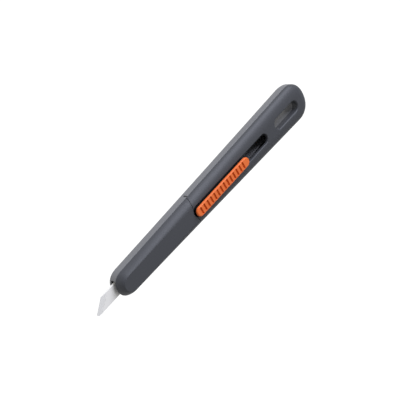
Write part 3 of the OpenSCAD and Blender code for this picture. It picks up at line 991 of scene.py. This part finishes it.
@dataclass
class ThumbSlider:
    """Orange slider: a pad with a rounded rim and grooves, its flange and its two legs."""

    form: HandleForm
    finishes: Finishes
    start: float = 50.8 * MM
    end: float = 88.8 * MM
    width: float = 4.6 * MM
    rim: float = 0.6 * MM
    neck_in: float = 1.0 * MM
    cap_gap: float = 0.75 * MM
    grooves: int = 14
    pitch: float = 2.37 * MM
    groove_w: float = 1.05 * MM
    groove_depth: float = 0.8 * MM
    groove_span: float = 3.8 * MM
    groove_shift: float = 0.8 * MM
    groove_steps: int = 24
    rim_steps: int = 8
    cap_lip: float = 0.15 * MM
    flange_gap: float = 0.15 * MM
    flange_low: float = 1.15 * MM
    leg_place: float = 13 * MM
    leg_half: tuple[float, float] = (2 * MM, 1.8 * MM)
    sharp_deg: float = 40

    def pad(self) -> bpy.types.Object:
        """Pad with its rounded rim."""
        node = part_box("slider_button")
        self.top = node[1].z
        roof_z = self.form.face_z - self.form.roof
        self.flange_z = (roof_z - self.flange_low, roof_z - self.flange_gap)
        shape = Stadium(self.form, self.start, self.end, self.width)
        cap_z = self.form.face_z + self.cap_gap
        rings = [shape.ring(self.flange_z[0] + 0.02 * MM, -self.neck_in), shape.ring(cap_z, -self.neck_in),
                 shape.ring(cap_z, -self.cap_lip), shape.ring(cap_z + self.cap_lip)]
        for k in range(self.rim_steps + 1):
            a = math.radians(90 * k / self.rim_steps)
            rings.append(shape.ring(self.top - self.rim * (1 - math.sin(a)), -self.rim * (1 - math.cos(a))))
        return loft("thumb_slider", rings)

    def groove(self, s: float) -> bpy.types.Object:
        """Cutter of one groove: a long round-bottomed trough across the pad."""
        half = self.groove_span / 2
        r = self.groove_w / 2
        bm = bmesh.new()
        turn = Matrix.Rotation(math.radians(90), 4, "X")
        deep = Matrix.Diagonal((1, 1, self.groove_depth / r, 1))
        place = Matrix.Translation((self.form.x(s), 0, self.top))
        bmesh.ops.create_cone(bm, cap_ends=True, segments=self.groove_steps, radius1=r, radius2=r,
                              depth=2 * (half - r), matrix=place @ deep @ turn)
        obj = to_object(bm, "groove")
        for y in (-half + r, half - r):
            ball = bmesh.new()
            bmesh.ops.create_uvsphere(ball, u_segments=self.groove_steps, v_segments=16, radius=r,
                                      matrix=place @ Matrix.Translation((0, y, 0)) @ deep)
            combine(obj, to_object(ball, "end"), Op.JOIN)
        return obj

    def build(self) -> None:
        """Makes the slider."""
        form = self.form
        pad = self.pad()
        middle = (self.start + self.end) / 2
        first = middle + self.groove_shift - (self.grooves - 1) / 2 * self.pitch
        for k in range(self.grooves):
            combine(pad, self.groove(first + k * self.pitch), Op.CUT)
        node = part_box("slider_button")

        def flange(bm: bmesh.types.BMesh) -> None:
            """Adds the flange that holds the slider under the covers."""
            add_box(bm, (node[0].x + 0.4 * MM, node[0].y, self.flange_z[0]),
                    (form.x(self.end - 2 * MM), node[1].y, self.flange_z[1]))

        def legs(bm: bmesh.types.BMesh) -> None:
            """Adds the legs that carry the push to the carrier."""
            half_x, half_y = self.leg_half
            for s in (middle - self.leg_place, middle + self.leg_place):
                add_box(bm, (form.x(s) - half_x, -half_y, node[0].z),
                        (form.x(s) + half_x, half_y, self.flange_z[0] + 0.4 * MM))

        combine(pad, solid("flange", flange), Op.JOIN)
        combine(pad, solid("legs", legs), Op.JOIN)
        stand_in(pad, "slider_button", Body.BUTTON, self.sharp_deg)
        self.piece = pad
        self.grooved = (form.x(first), form.x(first + (self.grooves - 1) * self.pitch))

    def dress(self) -> None:
        """Gives the cap its orange, paints the neck black as painted shade and paints the grooves a darker
        orange as painted shade.
        """
        self.finishes.dress(self.piece, Finishes.BUTTON, Finishes.BLACK_AND_SHADE, Finishes.GROOVE_SHADE)
        start, end = self.grooved
        half = self.groove_w / 2
        side = self.width / 2 - self.rim
        neck_top = self.form.face_z + self.cap_gap - 0.01 * MM
        for face in self.piece.data.polygons:
            x, y, z = face.center
            # Painted shade: the neck below the cap is painted black, standing in for the shadow in the gap.
            if z < neck_top:
                face.material_index = 1
            # Painted shade: the faces inside the grooves get the darker orange.
            elif start - half < x < end + half and abs(y) < side and z < self.top - 0.1 * MM:
                face.material_index = 2


@dataclass(frozen=True)
class SoftEdged:
    """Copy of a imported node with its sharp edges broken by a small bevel."""

    node: str
    body: Body
    finish: "Moulded | Ceramic | Steel"
    edge: float = 0.05 * MM
    min_angle: float = 20.0
    flat_angle: float = 1.0
    segments: int = 2

    def build(self) -> bpy.types.Object:
        """Makes the copy, puts it in the place of the node and returns it."""
        bm = bmesh.new()
        bm.from_mesh(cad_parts[self.node].data)
        flat, turn = math.radians(self.flat_angle), math.radians(self.min_angle)
        bmesh.ops.remove_doubles(bm, verts=bm.verts, dist=PACK_WELD)
        bmesh.ops.dissolve_limit(bm, angle_limit=flat, verts=bm.verts, edges=bm.edges)
        sharp = [e for e in bm.edges if e.is_manifold and e.calc_face_angle(0.0) > turn]
        bmesh.ops.bevel(bm, geom=sharp, offset=self.edge, offset_type="OFFSET", segments=self.segments,
                        profile=0.5, affect="EDGES", clamp_overlap=True, material=-1)
        obj = to_object(bm, f"{self.node}_skin")
        stand_in(obj, self.node, self.body)
        return obj


@dataclass
class Insides:
    """Blade, screws and the pieces inside the handle."""

    finishes: Finishes
    edge: float = 0.04 * MM
    moulded_edge: float = 0.08 * MM
    tooth: float = 0.75 * MM
    press: float = 0.8 * MM
    grind_tilt: tuple[float, float] = (0.9, 0.995)
    blade_angle: float = 10.0
    spring_angle: float = 35.0

    def build(self) -> None:
        """Makes the blade, the spring, the screws and the keeper."""
        self.blade = SoftEdged("blade", Body.SLIDE, Finishes.BLADE, self.edge, self.blade_angle).build()
        self.spring = SoftEdged("lock_spring", Body.SLIDE, Finishes.SPRING, self.edge,
                                self.spring_angle).build()
        self.screws = SoftEdged("housing_screws", Body.HANDLE, Finishes.SCREW, self.moulded_edge).build()
        self.keeper = SoftEdged("blade_keeper", Body.SLIDE, Finishes.BLACK_AND_SHADE, self.moulded_edge).build()
        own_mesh(self.spring)

    def dress(self) -> None:
        """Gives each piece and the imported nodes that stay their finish."""
        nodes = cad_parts
        # The inside pieces are black moulding; their black also serves as painted shade inside the slot.
        for obj, finish in ((self.spring, Finishes.SPRING), (self.screws, Finishes.SCREW),
                            (self.keeper, Finishes.BLACK_AND_SHADE), (nodes["notch_rail"], Finishes.BLACK_AND_SHADE),
                            (nodes["slide_carrier"], Finishes.BLACK_AND_SHADE)):
            self.finishes.dress(obj, finish)
            LOG.info("%s: %s", obj.name, finish.name)
        self.finishes.dress(self.blade, Finishes.BLADE, Finishes.GROUND)
        low, high = self.grind_tilt
        for face in self.blade.data.polygons:
            face.material_index = int(low < abs(face.normal.z) < high)


# ------------------------------------------------------------------------------------------------- studio


@dataclass(frozen=True)
class Panel:
    """Soft rectangular light."""

    name: str
    place: tuple[float, float, float]
    aim: tuple[float, float, float]
    size: tuple[float, float]
    power: float
    color: tuple[float, float, float] = (1, 1, 1)

    def build(self) -> None:
        """Makes the light."""
        data = bpy.data.lights.new(self.name, "AREA")
        data.shape = "RECTANGLE"
        data.size, data.size_y = self.size
        data.energy = self.power
        data.color = self.color
        obj = bpy.data.objects.new(self.name, data)
        obj.location = self.place
        way = Vector(self.aim) - Vector(self.place)
        obj.rotation_euler = way.to_track_quat("-Z", "Y").to_euler()
        bpy.context.scene.collection.objects.link(obj)


@dataclass
class Studio:
    """Pale floor, soft lights and the camera."""

    camera_place: tuple[float, float, float] = (0.1506, -0.1657, 0.2486)
    camera_turn: tuple[float, float, float] = (-8.836, -41.478, 144.373)
    lens: float = 66.29
    shift: tuple[float, float] = (-0.0019, 0.0010)
    floor_size: float = 3.0
    floor_gap: float = 0.5 * MM
    floor_light: float = 0.78
    floor_strength: float = 1.1
    sky: tuple[float, float, float] = (0.93, 0.95, 1.0)
    sky_strength: float = 0.33
    sky_seen: tuple[float, float, float] = (0.96, 0.97, 0.98)
    sensor: float = 36.0
    clip: tuple[float, float] = (0.01, 20.0)
    panels: tuple[Panel, ...] = (
        Panel("side_light", (-0.40, -0.56, 0.44), (0.0, 0.0, 0.0), (0.6, 0.5), 7.5, (0.84, 0.87, 1.0)),
        Panel("top_light", (-0.2, 0.3, 0.9), (0.0, 0.0, 0.0), (0.9, 0.9), 1.5),
    )

    def floor(self) -> None:
        """Makes the floor, a lit white table."""
        bm = bmesh.new()
        bmesh.ops.create_grid(bm, x_segments=1, y_segments=1, size=self.floor_size / 2)
        bmesh.ops.translate(bm, verts=bm.verts, vec=(0, 0, -self.floor_gap))
        obj = to_object(bm, "floor")
        n = Nodes("pale_floor")
        glow = n.tone((self.floor_light,) * 3, (1, 1, 1), n.seen())
        n.surface({"Base Color": (0, 0, 0, 1), "Roughness": 0.9, "Specular IOR Level": 0.0,
                   "Emission Color": glow, "Emission Strength": self.floor_strength})
        obj.data.materials.append(n.material)

    def backdrop(self) -> None:
        """Makes the sky: dim as a light, pale where it is seen."""
        world = bpy.data.worlds.new("studio")
        world.use_nodes = True
        tree = world.node_tree
        dim = tree.nodes["Background"]
        dim.inputs["Color"].default_value = (*self.sky, 1)
        dim.inputs["Strength"].default_value = self.sky_strength
        pale = tree.nodes.new("ShaderNodeBackground")
        pale.inputs["Color"].default_value = (*self.sky_seen, 1)
        path = tree.nodes.new("ShaderNodeLightPath")
        either = tree.nodes.new("ShaderNodeMixShader")
        tree.links.new(path.outputs["Is Camera Ray"], either.inputs[0])
        tree.links.new(dim.outputs[0], either.inputs[1])
        tree.links.new(pale.outputs[0], either.inputs[2])
        tree.links.new(either.outputs[0], tree.nodes["World Output"].inputs["Surface"])
        bpy.context.scene.world = world

    def build(self) -> None:
        """Makes the floor, the sky, the lights and the camera."""
        self.floor()
        self.backdrop()
        for panel in self.panels:
            panel.build()
        data = bpy.data.cameras.new("camera")
        data.lens = self.lens
        data.shift_x, data.shift_y = self.shift
        data.sensor_width = self.sensor
        data.clip_start, data.clip_end = self.clip
        camera = bpy.data.objects.new("camera", data)
        camera.location = self.camera_place
        camera.rotation_euler = Euler([math.radians(a) for a in self.camera_turn], "XYZ")
        bpy.context.scene.collection.objects.link(camera)
        bpy.context.scene.camera = camera
        view = bpy.context.scene.view_settings
        view.view_transform = "Standard"
        view.look = "None"


def main() -> None:
    """Builds the knife and its studio."""
    logging.basicConfig(level=logging.INFO, format="%(message)s")
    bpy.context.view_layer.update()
    back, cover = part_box("back_shell"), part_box("rear_cover")
    form = HandleForm(back[0].x, back[1].x, back[1].z, cover[1].z)
    finishes = Finishes()
    Studio().build()
    for part in (Handle(form, finishes), ThumbSlider(form, finishes), Insides(finishes)):
        part.build()
        part.dress()


if __name__ == "__main__":
    main()
